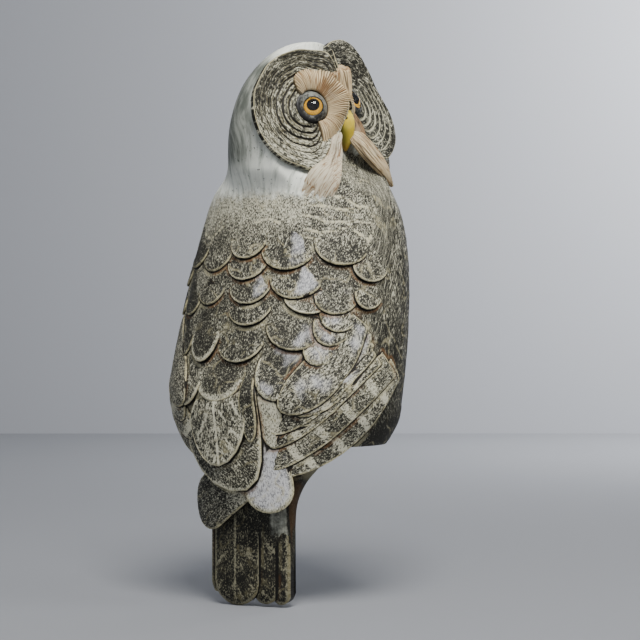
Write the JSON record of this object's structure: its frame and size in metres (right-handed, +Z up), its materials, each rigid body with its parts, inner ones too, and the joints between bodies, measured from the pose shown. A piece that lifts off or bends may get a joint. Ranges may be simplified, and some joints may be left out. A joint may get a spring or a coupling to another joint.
{
  "type": "ceramic owl figurine",
  "caption": "Glazed stoneware owl that sits on a ledge with its tail hanging over the edge, head turned hard to its right, with overlapping carved feathers and glass eyes.",
  "frame": {"origin": "on the flat seat under the body, below the body's upright axis", "axes": "+Z up through the head; the breast faces -Y and the tail hangs at +Y; the owl's left wing is at +X"},
  "size_m": [0.2018, 0.1913, 0.4618],
  "materials": {
    "glazed_stoneware": "satin",
    "eye_glass": "gloss"
  },
  "bodies": {
    "root": {"owl_figure": "glazed_stoneware", "right_eye": "eye_glass", "left_eye": "eye_glass"}
  },
  "joints": []
}
